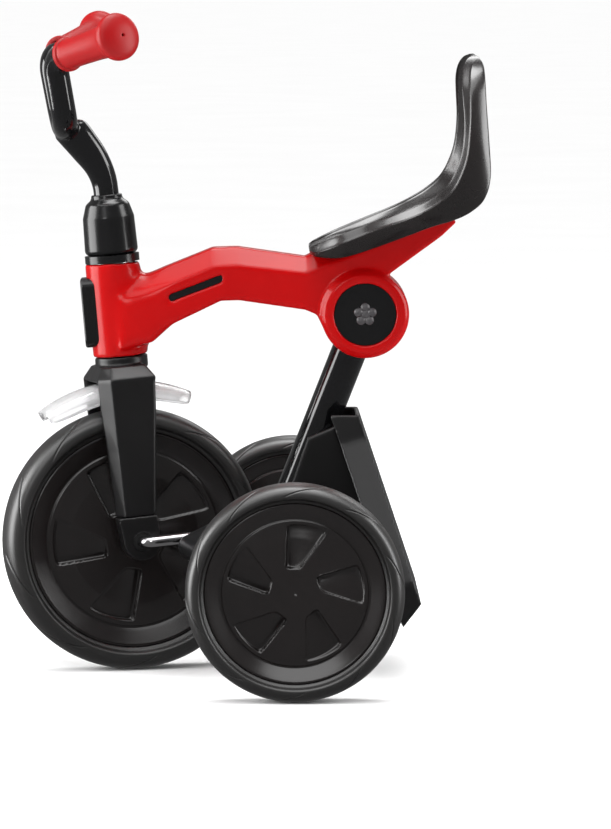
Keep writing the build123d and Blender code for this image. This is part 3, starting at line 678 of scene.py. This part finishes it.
def emblems():
    """A plain five-petalled flower on each hub disc."""
    pivot = Vector(JOINTS["fold"]["pos_m"])
    for name, node, body, side in (("left_emblem", "release_button", "release_button", -1),
                                   ("right_emblem", "hub_cap_right", "frame", 1)):
        face_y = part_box(node)[0 if side < 0 else 1][1]
        solids = []
        for petal in range(PETALS):
            turn = 2 * math.pi * (petal + 0.25) / PETALS
            middle = Vector((PETAL_REACH * math.cos(turn), PETAL_REACH * math.sin(turn)))
            outline = [(x + middle.x, y + middle.y) for x, y in ring_outline(PETAL_RADIUS, 32)]
            solids.append(prism([(-0.1, outline), (0.35, outline)]))
        solids.append(prism([(-0.1, ring_outline(3.4, 32)), (0.5, ring_outline(3.0, 32))]))
        place = frame_matrix(Vector((pivot.x, face_y, pivot.z)), ACROSS, UP, Vector((0, side, 0)))
        piece = bpy.data.objects.new(name, joined_mesh(name, solids, place))
        finish_piece(piece, "emblem_grey", body, [])


# ---- all the skins -----------------------------------------------------------------
JUNCTION = (-0.1, 0, 0.322)   # where the frame's tube runs into the head tube, in metres
JUNCTION_REACH = (0.042, 0.06, 0.045)


def frame_skin():
    """Both frame halves as one rounded piece, its tube flowing into the head tube."""
    body = merged_skin("frame_skin", ["frame_left_shell", "frame_right_shell"], "frame", "red_plastic",
                       1.6, 4)
    melt(body, Vector(JUNCTION), JUNCTION_REACH, 115)


def skins():
    wheels()
    seat_skin()
    fork_skin()
    guard_skin()
    bar_skins()
    frame_skin()
    for side in ("left", "right"):
        node_skin(f"fork_cap_{side}", "steering", "charcoal_plastic", 1.0, 4)
        node_skin(f"{side}_pedal", f"{side}_pedal", "pedal_plastic", 1.2, 8)
    for node in ("rear_spine", "rear_step"):
        node_skin(node, "rear_leg", "charcoal_plastic", 1.4, 4)
    emblems()


# ---- stage -------------------------------------------------------------------------
FLOOR_REACH = 90.0
WORLD_STRENGTH = 0.22


def stage():
    """A white floor and an even white surround."""
    material, tree, shader = new_material("floor")
    grain = noise(tree, 3.0)
    link(tree, ramp(tree, grain, (0.86, 0.86, 0.86), (0.88, 0.88, 0.88)), shader.inputs["Base Color"])
    shader.inputs["Roughness"].default_value = 0.7
    shader.inputs["Specular IOR Level"].default_value = 0.2
    floor_mesh = bpy.data.meshes.new("floor")
    corners = [(x * FLOOR_REACH, y * FLOOR_REACH, 0) for x, y in ((-1, -1), (1, -1), (1, 1), (-1, 1))]
    floor_mesh.from_pydata(corners, [], [(0, 1, 2, 3)])
    floor_mesh.materials.append(material)
    floor = bpy.data.objects.new("floor", floor_mesh)
    bpy.context.scene.collection.objects.link(floor)
    floor.visible_glossy = False      # its reflection would turn the dark plastics grey
    world = bpy.data.worlds.new("studio")
    bpy.context.scene.world = world
    world.use_nodes = True
    world.node_tree.nodes["Background"].inputs["Color"].default_value = (1, 1, 1, 1)
    world.node_tree.nodes["Background"].inputs["Strength"].default_value = WORLD_STRENGTH
    bpy.context.scene.view_settings.view_transform = "Standard"


def softbox(name, place, aim, width, height, power):
    """A rectangular light of a width and height in metres and a power in watts."""
    light = bpy.data.lights.new(name, "AREA")
    light.shape = "RECTANGLE"
    light.size = width
    light.size_y = height
    light.energy = power
    lamp = bpy.data.objects.new(name, light)
    lamp.location = place
    lamp.rotation_euler = (Vector(aim) - Vector(place)).to_track_quat("-Z", "Y").to_euler()
    bpy.context.scene.collection.objects.link(lamp)


def lights():
    """A broad sky light that keeps the floor white, and strip lights for the highlights."""
    sky = bpy.data.lights.new("sky", "SUN")
    sky.energy = 3.2
    sky.angle = math.radians(70)
    lamp = bpy.data.objects.new("sky", sky)
    lamp.rotation_euler = (math.radians(14), math.radians(-6), 0)
    bpy.context.scene.collection.objects.link(lamp)
    middle = (0, 0, 0.3)
    softbox("left_box", (-1.9, -0.15, 0.62), middle, 1.4, 1.7, 64)
    softbox("right_box", (1.9, -0.3, 0.85), middle, 0.9, 1.7, 34)
    softbox("front_box", (-1.1, -3.0, 1.5), middle, 0.8, 0.8, 13)
    softbox("top_box", (0.1, 0.3, 2.4), middle, 1.6, 1.0, 30)
    softbox("back_box", (0.6, 1.8, 1.4), middle, 1.6, 0.7, 10)


CAMERA_AIM = (0.0503, 0, 0.2245)
CAMERA_DISTANCE = 4.8
CAMERA_RISE, CAMERA_TURN = math.radians(5.12), math.radians(0.5)
LENS = 236.4


def camera():
    """The long lens stands a little above the tricycle's left side."""
    rise, turn = CAMERA_RISE, CAMERA_TURN
    back = Vector((-math.sin(turn) * math.cos(rise), -math.cos(turn) * math.cos(rise), math.sin(rise)))
    data = bpy.data.cameras.new("camera")
    data.lens = LENS
    data.sensor_width = 36
    data.clip_end = 300
    eye = bpy.data.objects.new("camera", data)
    eye.location = Vector(CAMERA_AIM) + back * CAMERA_DISTANCE
    eye.rotation_euler = (-back).to_track_quat("-Z", "Y").to_euler()
    bpy.context.scene.collection.objects.link(eye)
    bpy.context.scene.camera = eye


camera()
dress_nodes()
skins()
stage()
lights()
